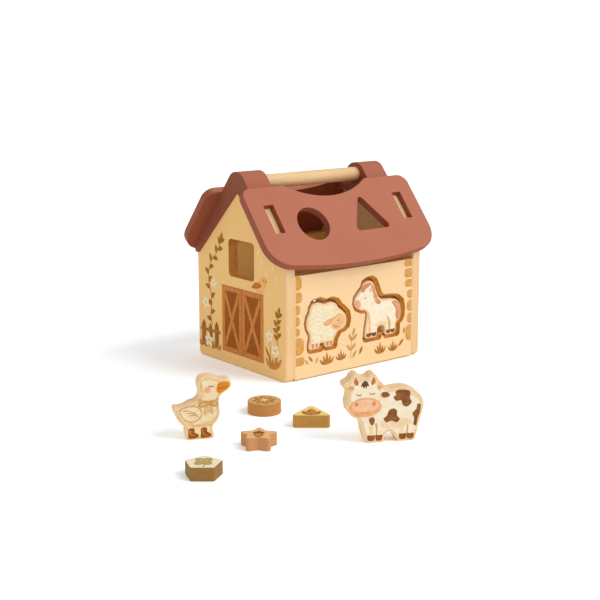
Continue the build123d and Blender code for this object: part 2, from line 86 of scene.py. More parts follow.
# Materials.
class Surface:
    """A node material under construction."""

    def __init__(self, name, roughness, specular):
        self.material = bpy.data.materials.new(name)
        self.material.use_nodes = True
        self.tree = self.material.node_tree
        self.shader = next(n for n in self.tree.nodes if n.type == "BSDF_PRINCIPLED")
        self.shader.inputs["Roughness"].default_value = roughness
        self.shader.inputs["Specular IOR Level"].default_value = specular
        coordinates = self.tree.nodes.new("ShaderNodeTexCoord")
        self.place = coordinates.outputs["Object"]
        self.normal = coordinates.outputs["Normal"]

    def link(self, source, target):
        self.tree.links.new(source, target)

    def noise(self, scale, stretch=(1, 1, 1), detail=4.0, roughness=0.55, distortion=0.0):
        """Noise fixed to the piece; stretch multiplies each axis's frequency."""
        mapping = self.tree.nodes.new("ShaderNodeMapping")
        mapping.inputs["Scale"].default_value = stretch
        self.link(self.place, mapping.inputs["Vector"])
        node = self.tree.nodes.new("ShaderNodeTexNoise")
        node.inputs["Scale"].default_value = scale
        node.inputs["Detail"].default_value = detail
        node.inputs["Roughness"].default_value = roughness
        node.inputs["Distortion"].default_value = distortion
        self.link(mapping.outputs["Vector"], node.inputs["Vector"])
        return node.outputs[0]

    def ramp(self, value, low, high):
        """Maps low..high of a value to 0..1, clamped."""
        node = self.tree.nodes.new("ShaderNodeMapRange")
        node.inputs["From Min"].default_value = low
        node.inputs["From Max"].default_value = high
        self.link(value, node.inputs["Value"])
        return node.outputs["Result"]

    def math(self, operation, first, second=None):
        node = self.tree.nodes.new("ShaderNodeMath")
        node.operation = operation
        for socket, value in zip(node.inputs, (first, second)):
            if value is None:
                continue
            if isinstance(value, (int, float)):
                socket.default_value = value
            else:
                self.link(value, socket)
        return node.outputs[0]

    def mix(self, factor, first, second):
        """Colour mix by a factor's socket; each colour is a value or a socket."""
        node = self.tree.nodes.new("ShaderNodeMix")
        node.data_type = "RGBA"
        self.link(factor, node.inputs[0])
        sockets = [s for s in node.inputs if s.type == "RGBA"]
        for socket, value in zip(sockets, (first, second)):
            if isinstance(value, tuple):
                socket.default_value = value
            else:
                self.link(value, socket)
        return next(s for s in node.outputs if s.type == "RGBA")

    def axis(self, letter, of_normal=False):
        """One coordinate of the position or of the normal, both on the piece itself."""
        split = self.tree.nodes.new("ShaderNodeSeparateXYZ")
        self.link(self.normal if of_normal else self.place, split.inputs["Vector"])
        return split.outputs[letter]

    def bump(self, height, strength):
        node = self.tree.nodes.new("ShaderNodeBump")
        node.inputs["Strength"].default_value = strength
        node.inputs["Distance"].default_value = 0.3 * MM
        self.link(height, node.inputs["Height"])
        self.link(node.outputs["Normal"], self.shader.inputs["Normal"])

    def colour(self, socket):
        self.link(socket, self.shader.inputs["Base Color"])

    def tint(self, mask, socket):
        """Lays a colour over the present one where the mask is 1."""
        below = self.shader.inputs["Base Color"].links[0].from_socket
        self.colour(self.mix(mask, below, socket))

    def rough(self, socket):
        self.link(socket, self.shader.inputs["Roughness"])


# How much slower the grain changes along the board than across it.
GRAIN = {"X": (0.05, 1, 1), "Z": (1, 1, 0.05)}


def grain_of(surface, light, dark, along, depth):
    """Wood tone with fine streaks along one axis and soft broad clouds, and the streaks alone."""
    streaks = surface.noise(520, GRAIN[along], detail=5.0, roughness=0.6)
    bands = surface.noise(95, GRAIN[along], detail=2.0, distortion=0.6)
    clouds = surface.noise(14, detail=2.0)
    fine = surface.math("MULTIPLY", surface.ramp(streaks, 0.35, 0.7), 0.45)
    broad = surface.math("MULTIPLY", surface.ramp(bands, 0.35, 0.7), 0.35)
    cloudy = surface.math("MULTIPLY", surface.ramp(clouds, 0.3, 0.7), 0.35)
    darkness = surface.math("ADD", surface.math("ADD", fine, broad), cloudy)
    return surface.mix(surface.math("MULTIPLY", darkness, depth), light, dark), streaks


def wood(name, light, dark, depth=0.5):
    """Plain lacquered wood with its grain along X."""
    s = Surface(name, 0.55, 0.35)
    tone, streaks = grain_of(s, light, dark, "X", depth)
    s.colour(tone)
    s.rough(s.math("ADD", s.math("MULTIPLY", streaks, 0.15), 0.47))
    s.bump(streaks, 0.12)
    return s.material


def printed_wood(name, face, edge, letter, way, limit=0.9, along="X"):
    """Board with a printed face, on the side of letter's axis that way gives, and bare edges."""
    s = Surface(name, 0.6, 0.18)
    printed, streaks = grain_of(s, *face, along, 0.35)
    bare, _ = grain_of(s, *edge, along, 0.7)
    outward = s.math("MULTIPLY", s.axis(letter, True), float(way))
    s.colour(s.mix(s.ramp(outward, limit - 0.06, limit), bare, printed))
    s.bump(streaks, 0.08)
    return s


def paint(name, tone, deep, edge, normal_y, normal_z):
    """Matte paint, with the wood's grain just telling through it, darker off the upper sides: the
    edge colour there is painted shade.
    """
    s = Surface(name, 0.62, 0.28)
    streaks = s.noise(420, GRAIN["X"], detail=4.0)
    clouds = s.noise(16, detail=3.0)
    speckle = s.noise(900, detail=2.0)
    base = s.mix(s.math("MULTIPLY", s.ramp(clouds, 0.3, 0.75), 0.6), tone, deep)
    base = s.mix(s.math("MULTIPLY", s.ramp(streaks, 0.55, 0.8), 0.18), base, deep)
    upward = s.math("ADD", s.math("MULTIPLY", s.math("ABSOLUTE", s.axis("Y", True)), normal_y),
                    s.math("MULTIPLY", s.axis("Z", True), normal_z))
    # Painted shade: every side but the upper ones takes the darker edge colour.
    s.colour(s.mix(s.ramp(upward, 0.82, 0.97), edge, base))
    s.rough(s.math("ADD", s.math("MULTIPLY", speckle, 0.14), 0.55))
    s.bump(s.math("ADD", s.math("MULTIPLY", streaks, 0.6), s.math("MULTIPLY", speckle, 0.4)), 0.10)
    return s.material


def steel(name):
    """Plain zinc-plated steel with fine scratches."""
    s = Surface(name, 0.35, 0.5)
    s.shader.inputs["Metallic"].default_value = 1.0
    scratch = s.noise(700, (0.1, 1, 1))
    s.colour(s.mix(scratch, (0.55, 0.55, 0.56, 1), (0.72, 0.72, 0.73, 1)))
    s.rough(s.math("ADD", s.math("MULTIPLY", scratch, 0.2), 0.25))
    return s.material


def band(surface, value, low, high, soft):
    """1 where a value lies between low and high, 0 outside of them."""
    rise = surface.ramp(value, low - soft, low)
    fall = surface.ramp(value, high + soft, high)
    return surface.math("MULTIPLY", rise, fall)


def opening_brown(surface, light, dark):
    """Cloudy brown, darker than the board's face, for the walls inside a cut opening."""
    return surface.mix(surface.ramp(surface.noise(70, detail=3.0), 0.3, 0.7), light, dark)


def gable_board(name, way):
    """Gable board: printed outer face in a warmer cream that is painted warm shade, and browned
    walls in its window.
    """
    # Painted warm shade: the outer face gets a yellower cream than the rest of the board, which
    # GABLE_LIGHT then brightens.
    face = rgb(229, 189, 124, GABLE_LIGHT), rgb(222, 179, 112, GABLE_LIGHT)
    edge = rgb(250, 214, 164), rgb(232, 190, 136)
    s = printed_wood(name + "_wood", face, edge, "X", way, along="Z")
    window = s.math("MULTIPLY", band(s, s.axis("Y"), *WINDOW_Y, soft=0.0004),
                    band(s, s.axis("Z"), *WINDOW_Z, soft=0.0004))
    wall = s.ramp(s.math("ABSOLUTE", s.axis("X", True)), 0.6, 0.4)
    s.tint(s.math("MULTIPLY", window, wall), opening_brown(s, rgb(226, 164, 80), rgb(196, 132, 54)))
    return s.material


def cut_panel(name, way):
    """Side panel: cream face, and cloudy brown walls inside its openings."""
    face = rgb(254, 220, 172), rgb(246, 204, 150)
    edge = rgb(255, 212, 132), rgb(246, 194, 108)
    s = printed_wood(name + "_wood", face, edge, "Y", way)
    depth = band(s, s.math("MULTIPLY", s.axis("Y"), float(way)), *PANEL_DEPTH, soft=0.0003)
    length = s.ramp(s.math("ABSOLUTE", s.axis("X")), PANEL_END_SOFT, PANEL_END)
    height = s.math("MULTIPLY", s.ramp(s.axis("Z"), PANEL_FOOT_SOFT, PANEL_FOOT),
                    s.ramp(s.axis("Z"), PANEL_TOP_SOFT, PANEL_TOP))
    walls = s.math("MULTIPLY", s.math("MULTIPLY", depth, length), height)
    s.tint(walls, opening_brown(s, rgb(230, 166, 78), rgb(198, 133, 52)))
    return s.material


def assign(material, *names):
    """Gives CAD nodes one material."""
    for name in names:
        mesh = nodes[name].data
        mesh.materials.clear()
        mesh.materials.append(material)


# The third colour of each paint is painted shade on the sides that do not face up: the roof plates'
# edges and undersides, and the outer faces of the trims and ridge blocks.
roof = paint("terracotta_roof",
             rgb(193, 118, 92), rgb(184, 108, 83), rgb(157, 85, 61), 0.777, 0.629)
trim = paint("terracotta_trim",
             rgb(186, 110, 84), rgb(178, 101, 76), rgb(144, 78, 54), 0.5, 1.0)
play_wood = wood("animal_wood", rgb(255, 225, 178), rgb(234, 186, 132), depth=0.55)
assign(roof, "front_roof_plate", "rear_roof_plate")
assign(trim, "left_gable_trim", "right_gable_trim", "left_ridge_block", "right_ridge_block")
assign(gable_board("left_gable_wall", -1), "left_gable_wall")
assign(gable_board("right_gable_wall", 1), "right_gable_wall")
assign(cut_panel("front_flap", -1), "front_flap")
assign(cut_panel("rear_panel", 1), "rear_panel")
assign(wood("floor_wood", rgb(240, 200, 146), rgb(205, 155, 100)), "floor_board")
assign(wood("handle_wood", rgb(255, 221, 170), rgb(228, 178, 122), depth=0.6), "handle_dowel")
assign(wood("dowel_wood", rgb(240, 200, 146), rgb(205, 155, 100)), "wall_dowels")
assign(steel("zinc_steel"), "flap_hinge_pins", "ridge_screws")
assign(play_wood, "sheep", "horse", "cow", "duck")


# Print shapes.
def smooth(points, closed=True, steps=6):
    """Rounded curve through the given points."""
    count = len(points)
    out = []
    for i in range(count if closed else count - 1):
        if closed:
            p0, p1, p2, p3 = (points[(i + k - 1) % count] for k in range(4))
        else:
            p0, p1 = points[max(i - 1, 0)], points[i]
            p2, p3 = points[i + 1], points[min(i + 2, count - 1)]
        for step in range(steps):
            t = step / steps
            out.append(tuple(
                0.5 * (2 * b + (c - a) * t + (2 * a - 5 * b + 4 * c - d) * t * t
                       + (3 * b - a - 3 * c + d) * t ** 3)
                for a, b, c, d in zip(p0, p1, p2, p3)
            ))
    if not closed:
        out.append(tuple(points[-1]))
    return out


def ellipse(x, y, across, up, turn=0.0):
    """Ellipse from its half widths, turned about its middle."""
    angle = math.radians(turn)
    count = 28
    out = []
    for i in range(count):
        t = 2 * math.pi * i / count
        u, v = across * math.cos(t), up * math.sin(t)
        out.append((x + u * math.cos(angle) - v * math.sin(angle),
                    y + u * math.sin(angle) + v * math.cos(angle)))
    return out


def leaf(x0, y0, x1, y1, width, bend=0.0):
    """Pointed leaf from its root to its tip."""
    length = math.hypot(x1 - x0, y1 - y0)
    dx, dy = (x1 - x0) / length, (y1 - y0) / length
    count = 9
    left, right = [], []
    for i in range(count + 1):
        t = i / count
        half = 0.5 * width * math.sin(math.pi * t ** 0.85) ** 0.8
        mid = bend * math.sin(math.pi * t)
        px = x0 + dx * length * t - dy * mid
        py = y0 + dy * length * t + dx * mid
        left.append((px - dy * half, py + dx * half))
        right.append((px + dy * half, py - dx * half))
    return left + right[-2:0:-1]


def ribbon(points, start, end):
    """Brush stroke along a curve, from one width to another."""
    path = smooth(points, closed=False)
    left, right = [], []
    for i, (x, y) in enumerate(path):
        a, b = path[max(i - 1, 0)], path[min(i + 1, len(path) - 1)]
        length = math.hypot(b[0] - a[0], b[1] - a[1]) or 1.0
        nx, ny = -(b[1] - a[1]) / length, (b[0] - a[0]) / length
        half = 0.5 * (start + (end - start) * i / (len(path) - 1))
        left.append((x + nx * half, y + ny * half))
        right.append((x - nx * half, y - ny * half))
    return left + right[::-1]


def bar(x0, y0, x1, y1, width):
    """Straight strip."""
    length = math.hypot(x1 - x0, y1 - y0)
    nx, ny = -(y1 - y0) / length * width / 2, (x1 - x0) / length * width / 2
    return [(x0 + nx, y0 + ny), (x0 - nx, y0 - ny), (x1 - nx, y1 - ny), (x1 + nx, y1 + ny)]


class Sheet:
    """Ink shapes on a flat side; points are millimetres across and up from its origin."""

    def __init__(self, name, origin, across, up, body, slot, light=1.0):
        self.name, self.body, self.slot_name, self.light = name, body, slot, light
        self.origin = Vector(origin) * MM
        self.across, self.up = Vector(across), Vector(up)
        self.out = self.across.cross(self.up)
        self.inks = {}
        self.order = 0

    def put(self, ink, points, layer):
        """Adds one shape; neighbours lie a few microns apart, so none share a height."""
        self.order = (self.order + 1) % SHAPE_STEPS
        lift = INK_LIFT + LAYER_STEP * layer + SHAPE_STEP * self.order
        self.inks.setdefault(ink, []).append((points, lift))

    def blob(self, ink, layer, *points):
        """Adds a rounded shape through the points."""
        self.put(ink, smooth(points), layer)

    def stroke(self, ink, layer, start, end, *points):
        """Adds a brush stroke along the points, from one width to another."""
        self.put(ink, ribbon(points, start, end), layer)

    def make(self):
        """Turns the shapes into one piece for each ink."""
        for ink, shapes in self.inks.items():
            made = bmesh.new()
            for points, lift in shapes:
                raised = self.out * lift * MM
                face = made.faces.new([
                    made.verts.new(self.origin + self.across * x * MM + self.up * y * MM + raised)
                    for x, y in points
                ])
                face.normal_update()
                if face.normal.dot(self.out) < 0:
                    face.normal_flip()
            bmesh.ops.triangulate(made, faces=made.faces[:], quad_method="BEAUTY",
                                  ngon_method="EAR_CLIP")
            mesh = bpy.data.meshes.new(self.name + "_" + ink)
            made.to_mesh(mesh)
            made.free()
            mesh.materials.append(ink_material(ink, self.light))
            piece = linked(mesh)
            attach(piece, self.body)


# Each ink's pale and deep tone, sRGB.
INKS = {
    "leaf_brown": ((170, 114, 36), (142, 88, 18)),
    "leaf_ochre": ((196, 138, 62), (168, 106, 38)),
    "leaf_pale": ((214, 170, 104), (200, 150, 84)),
    "fence_brown": ((160, 104, 34), (134, 82, 18)),
    "fence_light": ((176, 122, 54), (150, 96, 34)),
    "door_frame": ((200, 128, 64), (184, 112, 52)),
    "door_dark": ((150, 86, 22), (136, 74, 16)),
    "door_edge": ((168, 100, 46), (150, 86, 36)),
    "stone": ((227, 174, 98), (214, 156, 78)),
    "stone_shade": ((214, 158, 82), (202, 144, 68)),
    "white": ((252, 240, 214), (246, 226, 190)),
    "petal_shade": ((242, 220, 182), (234, 206, 160)),
    "yellow": ((238, 184, 84), (226, 160, 58)),
    "pale_dash": ((240, 214, 166), (236, 206, 152)),
    "bird_body": ((238, 186, 118), (222, 158, 84)),
    "bird_wing": ((194, 120, 46), (168, 94, 28)),
    "line_brown": ((172, 120, 62), (150, 98, 44)),
    "line_dark": ((122, 84, 56), (104, 68, 44)),
    "coat": ((255, 247, 226), (250, 232, 198)),
    "coat_shade": ((250, 228, 190), (242, 212, 166)),
    "wool": ((252, 241, 208), (244, 224, 174)),
    "wool_line": ((242, 222, 174), (234, 208, 154)),
    "wool_light": ((254, 245, 218), (249, 234, 196)),
    "peach": ((240, 180, 120), (228, 156, 94)),
    "peach_light": ((250, 208, 160), (242, 190, 136)),
    "blush": ((246, 186, 158), (240, 168, 138)),
    "mane": ((226, 158, 120), (210, 136, 98)),
    "hoof": ((150, 92, 72), (124, 70, 52)),
    "hoof_light": ((226, 160, 126), (212, 142, 106)),
    "pink": ((244, 186, 168), (232, 160, 140)),
    "patch": ((122, 84, 62), (94, 62, 46)),
    "orange": ((240, 160, 45), (225, 130, 25)),
    "boot": ((172, 102, 36), (140, 74, 22)),
    "scarf": ((234, 200, 146), (216, 174, 112)),
    "duck_line": ((222, 180, 120), (206, 158, 94)),
    "olive": ((206, 180, 112), (184, 154, 84)),
    "tan_line": ((164, 112, 54), (140, 88, 38)),
    "amber": ((226, 158, 66), (196, 122, 40)),
    "cow_patch": ((158, 104, 62), (128, 80, 42)),
    "cow_hoof": ((168, 104, 50), (140, 78, 32)),
    "muzzle": ((250, 186, 140), (244, 168, 118)),
    "muzzle_light": ((253, 208, 170), (250, 194, 150)),
    "nostril": ((238, 152, 92), (228, 134, 74)),
    "horn": ((214, 124, 66), (196, 104, 50)),
    "coat_wash": ((251, 230, 190), (244, 212, 160)),
    "duck_wash": ((246, 214, 158), (238, 196, 130)),
    "duck_coat": ((252, 236, 200), (246, 218, 166)),
    "bow": ((222, 178, 108), (200, 150, 80)),
}
made_inks = {}


def ink_material(ink, light):
    """Printed colour with the cloudy tones of a water wash."""
    key = (ink, light)
    if key not in made_inks:
        pale, deep = INKS[ink]
        s = Surface("ink_" + ink + ("" if light == 1.0 else "_shaded"), 0.62, 0.12)
        clouds = s.noise(210, detail=3.0, distortion=0.4)
        grain = s.noise(900, detail=2.0)
        mottled = s.math("ADD", s.math("MULTIPLY", clouds, 0.8), s.math("MULTIPLY", grain, 0.2))
        s.colour(s.mix(s.ramp(mottled, 0.36, 0.64), rgb(*pale, light), rgb(*deep, light)))
        s.bump(grain, 0.05)
        made_inks[key] = s.material
    return made_inks[key]


def daisy(sheet, x, y, radius, layer, turn):
    """Plain flower with five petals; it takes three layers."""
    angles = [math.radians(turn + 360 * i / 5) for i in range(5)]
    reach = radius * 0.56
    for angle in angles:
        sheet.put("white", ellipse(x + reach * math.cos(angle), y + reach * math.sin(angle),
                                   radius * 0.5, radius * 0.34, math.degrees(angle)), layer)
    root, tip = 0.2 * radius, 0.66 * radius
    for angle in angles:
        sheet.put("petal_shade", leaf(x + root * math.cos(angle), y + root * math.sin(angle),
                                      x + tip * math.cos(angle), y + tip * math.sin(angle),
                                      radius * 0.14), layer + 1)
    sheet.put("yellow", ellipse(x, y, radius * 0.24, radius * 0.24), layer + 2)


def sprig(sheet, stem, leaves, size, ink="leaf_brown"):
    """Curved stem with leaves; each is a spot along it from 0 to 1 and a side, 1 or -1."""
    path = smooth(stem, closed=False, steps=10)
    sheet.stroke(ink, 0, 1.2, 0.7, *stem)
    for spot, side in leaves:
        i = min(int(spot * (len(path) - 1)), len(path) - 2)
        x, y = path[i]
        along = math.atan2(path[i + 1][1] - y, path[i + 1][0] - x)
        angle = along + side * math.radians(58 - 16 * spot)
        sheet.put(ink, leaf(x, y, x + size * math.cos(angle), y + size * math.sin(angle),
                            size * 0.54, bend=-side * size * 0.08), 1)
    x, y = path[-1]
    dx, dy = x - path[-4][0], y - path[-4][1]
    length = math.hypot(dx, dy)
    sheet.put(ink, leaf(x, y, x + dx / length * size, y + dy / length * size, size * 0.5), 1)


def tuft(sheet, x, y, width, height):
    """Fan of five grass blades from one root."""
    for i in range(5):
        t = i / 2 - 1
        reach = height * (1.0 - 0.42 * abs(t)) * (0.92 + 0.16 * ((i * 7) % 3) / 2)
        sheet.put("leaf_ochre", leaf(x + t * width * 0.10, y, x + t * width * 0.52, y + reach,
                                     width * 0.17, bend=-t * width * 0.05), i % 2)
    sheet.put("leaf_ochre", ellipse(x, y + height * 0.12, width * 0.2, height * 0.16), 0)


# Gable print.
def barn_door(sheet):
    """Double barn door: frame, two dark leaves and a cross brace in each."""
    left, middle, right, low, high = -32.5, 4.0, 42.5, 14.0, 87.6
    sheet.put("door_frame", [(left, low), (right, low), (right, high), (left, high)], 0)
    for a, b in ((left, middle), (middle, right)):
        in_l, in_r, in_b, in_t = a + 5.6, b - 5.6, low + 5.8, high - 5.8
        sheet.put("door_dark", [(in_l, in_b), (in_r, in_b), (in_r, in_t), (in_l, in_t)], 1)
        sheet.put("door_frame", bar(in_l - 1.0, in_b - 1.0, in_r + 1.0, in_t + 1.0, 4.6), 2)
        sheet.put("door_frame", bar(in_l - 1.0, in_t + 1.0, in_r + 1.0, in_b - 1.0, 4.6), 3)
        for x in (in_l, in_r):
            sheet.put("door_edge", bar(x, in_b, x, in_t, 0.5), 4)
        for z in (in_b, in_t):
            sheet.put("door_edge", bar(in_l, z, in_r, z, 0.5), 4)
    sheet.put("door_edge", bar(middle, low, middle, high, 0.7), 4)
    for z in (low + 0.3, high - 0.3):
        sheet.put("door_edge", bar(left, z, right, z, 0.6), 4)


def climbing_sprig(sheet):
    """Sprig up the left edge, with a picket fence and flowers at its foot."""
    stem = [(-52, 38), (-54.5, 50), (-52.5, 62), (-53.5, 74), (-57.5, 88), (-57, 100), (-52, 111),
            (-43, 120), (-36, 130), (-33.5, 136)]
    spots = [(0.06, 1), (0.13, -1), (0.22, 1), (0.29, -1), (0.38, 1), (0.44, -1), (0.52, 1),
             (0.58, -1), (0.66, 1), (0.72, -1), (0.79, 1), (0.84, -1), (0.91, 1), (0.95, -1)]
    sprig(sheet, stem, spots, 9.6)
    for x, low, top, width in ((-68.5, 12.5, 42.0, 7.6), (-55.5, 13.0, 39.5, 6.8),
                               (-43.5, 13.0, 43.0, 7.2)):
        half = width / 2
        sheet.put("fence_brown", [(x - half, low), (x + half, low), (x + half, top - 5),
                                  (x + 0.6, top), (x - 0.6, top), (x - half, top - 5)], 1)
        sheet.put("fence_light", bar(x - half * 0.35, low + 2, x - half * 0.35, top - 6, 0.7), 2)
    sheet.put("fence_light", bar(-75.0, 31.4, -36.5, 32.0, 3.2), 3)
    sheet.put("fence_brown", bar(-75.0, 30.2, -36.5, 30.8, 0.7), 4)
    for x, way in ((-71, -1), (-66, 1), (-48.5, -1), (-42, 1)):
        sheet.put("leaf_ochre", leaf(x, 11.5, x + way * 6.5, 18.0, 4.4, bend=way * -0.8), 4)
        sheet.put("leaf_ochre", leaf(x, 11.5, x + way * 1.5, 20.0, 3.6), 4)
    daisy(sheet, -58.5, 20.0, 7.6, 5, 18)
    daisy(sheet, -63.5, 62.5, 6.6, 2, 40)
    daisy(sheet, -47.5, 87.0, 5.6, 2, 5)


def short_sprig(sheet):
    """Shorter sprig on the right, over a clump of leaves and two flowers."""
    stem = [(62, 18), (65.5, 32), (66.5, 46), (65.5, 58), (68.0, 71)]
    spots = [(0.46, 1), (0.5, -1), (0.62, 1), (0.66, -1), (0.76, 1), (0.8, -1), (0.9, 1),
             (0.94, -1)]
    sprig(sheet, stem, spots, 8.6)
    for x1, z1, width in ((46, 21, 4.6), (51, 26, 4.2), (58.5, 23, 3.8), (66, 26, 4.4),
                          (73.5, 25, 4.8)):
        sheet.put("leaf_ochre", leaf(59 + (x1 - 59) * 0.12, 11, x1, z1, width,
                                     bend=(59 - x1) * 0.06), 2)
    sheet.put("leaf_brown", leaf(54, 20, 45.5, 33, 3.2), 1)
    sheet.stroke("leaf_brown", 1, 0.8, 0.5, (54.5, 20), (54, 32), (53.6, 42))
    daisy(sheet, 53.3, 45.5, 6.4, 3, 28)
    daisy(sheet, 62.5, 31.5, 6.8, 3, 62)


def falling_petals(sheet):
    """Pale petals under the right eave."""
    for x, z, turn in ((34.5, 131.5, 70), (39.5, 121.5, 62), (58.5, 117.0, 80), (64.5, 108.5, 66),
                       (47.5, 111.0, 74)):
        sheet.put("pale_dash", ellipse(x, z, 4.2, 1.5, turn), 0)


def on_door(x, z):
    """A point of the bird, which is drawn at 1.4 times its own size on the door's head."""
    return 33.5 + 1.4 * x, 88.0 + 1.4 * z


def small_bird(sheet):
    """Plain bird on the right corner of the door's head."""
    body = ((-1, 0), (4.5, 0.8), (7.4, 5.0), (9.6, 10.0), (7.4, 13.4), (3.6, 12.4), (1.4, 8.6),
            (-5.2, 6.0))
    sheet.blob("bird_body", 5, *(on_door(x, z) for x, z in body))
    sheet.put("bird_wing", leaf(*on_door(4.6, 6.4), *on_door(-8.2, 3.4), 6.4, bend=-1.1), 6)
    sheet.put("amber", [on_door(9.0, 11.6), on_door(12.2, 10.2), on_door(9.2, 9.4)], 6)
    sheet.put("line_dark", ellipse(*on_door(7.0, 11.0), 0.8, 0.8), 7)


def printed_window(sheet):
    """Four dark panes in a frame."""
    sheet.put("door_frame", [(-19.0, 100.0), (27.0, 100.0), (27.0, 139.0), (-19.0, 139.0)], 0)
    for u, z in ((-15.6, 103.4), (5.6, 103.4), (-15.6, 121.2), (5.6, 121.2)):
        sheet.put("door_dark", [(u, z), (u + 18.0, z), (u + 18.0, z + 14.4), (u, z + 14.4)], 1)


def gable_print(name, side):
    """Barn doors, fence, sprigs, flowers and a bird on the outer face of one gable."""
    sheet = Sheet(name, (side * GABLE_FACE, 0, 0), (0, side, 0), UP, "house", "cream_printed_wood",
                  GABLE_LIGHT if side < 0 else FAR_PRINT_LIGHT)
    barn_door(sheet)
    climbing_sprig(sheet)
    short_sprig(sheet)
    falling_petals(sheet)
    small_bird(sheet)
    if side > 0:
        # This gable has no opening, so its window is only printed.
        printed_window(sheet)
    sheet.make()


gable_print("left_gable_print", -1)
gable_print("right_gable_print", 1)


# Panel print.
def stone(sheet, edge_x, z0, z1, width, way):
    """Quoin stone: flat at the panel's end, rounded towards its middle."""
    r = min(width, (z1 - z0) / 2) * 0.72
    points = [(edge_x, z0), (edge_x, z1)]
    for centre_z, start in ((z1 - r, 90), (z0 + r, 0)):
        for i in range(7):
            angle = math.radians(start - 15 * i)
            x = edge_x + way * (width - r + r * math.cos(angle))
            points.append((x, centre_z + r * math.sin(angle)))
    sheet.put("stone", points, 0)
    sheet.stroke("stone_shade", 1, 1.0, 0.5, (edge_x + way * 1.0, z0 + 1.2),
                 (edge_x + way * width * 0.55, z0 + 1.0), (edge_x + way * (width - 1.4), z0 + r))


def front_growth(sheet):
    """Tufts, leaves and buds along the flap's foot, round the animals."""
    tuft(sheet, -40.5, 11.6, 19, 12.4)
    tuft(sheet, -20.8, 13.0, 14.5, 10.6)
    tuft(sheet, 36.0, 10.8, 16.5, 12.4)
    tuft(sheet, 55.5, 10.8, 14.5, 11.2)
    for ink, x0, z0, x1, z1, width in (
        ("leaf_ochre", -60, 17.6, -65.6, 24.2, 3.0),
        ("leaf_pale", -66, 15.6, -70.6, 21.6, 2.4),
        ("leaf_pale", -56, 15.0, -52.8, 21.5, 2.4),
        ("leaf_ochre", 64.0, 14.6, 71.6, 22.4, 3.4),
        ("leaf_ochre", 72.2, 28.0, 71.8, 36.0, 2.4),
        ("leaf_ochre", 5.6, 15.0, 10.0, 24.0, 3.4),
        ("leaf_pale", -4.2, 12.6, 1.6, 20.8, 3.4),
    ):
        sheet.put(ink, leaf(x0, z0, x1, z1, width), 0)
    sheet.stroke("leaf_pale", 0, 0.9, 0.6, (-7.2, 12.0), (-6.0, 22.0), (-5.6, 32.0), (-3.4, 39.0))
    for x0, z0, x1, z1 in ((-6.2, 20.6, -13.0, 28.6), (-5.9, 21.6, 0.4, 28.8),
                           (-5.7, 31.0, -9.6, 40.4), (-5.4, 31.4, 2.4, 38.8),
                           (-4.2, 37.2, -1.4, 46.2)):
        sheet.put("leaf_pale", leaf(x0, z0, x1, z1, 3.4), 1)
    for x, z in ((-22.4, 33.8), (-17.6, 31.4), (17.6, 23.0)):
        sheet.stroke("pale_dash", 0, 0.5, 0.4, (x - 0.6, z - 11.0), (x, z - 1.6))
        sheet.put("white", ellipse(x, z, 1.7, 1.7), 1)


def rear_growth(sheet):
    """Two tufts at the rear panel's foot and two sprigs over its openings."""
    tuft(sheet, -18.0, 4.0, 17, 12.4)
    tuft(sheet, 1.0, 4.0, 15, 11.0)
    for x in (-46.0, 34.0):
        sprig(sheet, [(x - 18, 93), (x - 8, 97), (x + 4, 95), (x + 14, 98)],
              [(0.2, 1), (0.3, -1), (0.45, 1), (0.55, -1), (0.7, 1), (0.8, -1)], 7.0, "leaf_pale")


def panel_print(name, way, body, widest, growth):
    """Quoins up both ends of one side panel, and what grows along its foot."""
    sheet = Sheet(name, (0, way * PANEL_FACE, 0), (-way, 0, 0), UP, body, "cream_printed_wood")
    left = ((111.0, 96.5, 8.0), (94.5, 83.0, 8.2), (81.0, 70.5, 5.6), (68.8, 58.5, 5.2),
            (56.6, 47.8, 5.2), (46.0, 27.5, 11.0), (25.0, 15.8, 11.4))
    right = ((111.0, 103.6, 12.0), (101.5, 91.2, 11.4), (89.0, 80.6, 10.2), (77.0, 67.6, 7.0),
             (65.4, 52.6, 7.0), (50.6, 39.0, 6.4), (37.2, 19.0, 8.6))
    for z1, z0, width in left:
        stone(sheet, -PANEL_HALF, z0, z1, min(width, widest), 1)
    for z1, z0, width in right:
        stone(sheet, PANEL_HALF, z0, z1, min(width, widest), -1)
    growth(sheet)
    sheet.make()


panel_print("flap_print", -1, "flap", 20, front_growth)
panel_print("rear_print", 1, "house", 4.6, rear_growth)


# Play pieces: bare wood edges, and a print that stops just inside the rim.
def rim_of(node, sheet):
    """Outline of a node's face that lies in a sheet's plane, as points of the sheet."""
    mesh = nodes[node].data
    in_plane, parallel = 0.02 * MM, 0.999
    edges = {}
    for face in mesh.polygons:
        corners = [mesh.vertices[v].co - sheet.origin for v in face.vertices]
        if face.normal.dot(sheet.out) <= parallel or abs(corners[0].dot(sheet.out)) >= in_plane:
            continue
        ring = [(round(c.dot(sheet.across) / MM, 3), round(c.dot(sheet.up) / MM, 3))
                for c in corners]
        edges.update(dict.fromkeys(zip(ring, ring[1:] + ring[:1])))
    # An edge that no neighbour runs the other way is on the outline.
    follow = {a: b for (a, b) in edges if (b, a) not in edges}
    start = next(iter(follow))
    loop, here = [start], follow[start]
    while here != start and len(loop) < len(follow) + 1:
        loop.append(here)
        here = follow[here]
    return loop


def even(loop):
    """The loop again with a point every millimetre."""
    ends = loop + loop[:1]
    out, carry = [], 0.0
    for (x0, y0), (x1, y1) in zip(ends, ends[1:]):
        length = math.hypot(x1 - x0, y1 - y0)
        while carry < length:
            out.append((x0 + (x1 - x0) * carry / length, y0 + (y1 - y0) * carry / length))
            carry += 1.0
        carry -= length
    return out


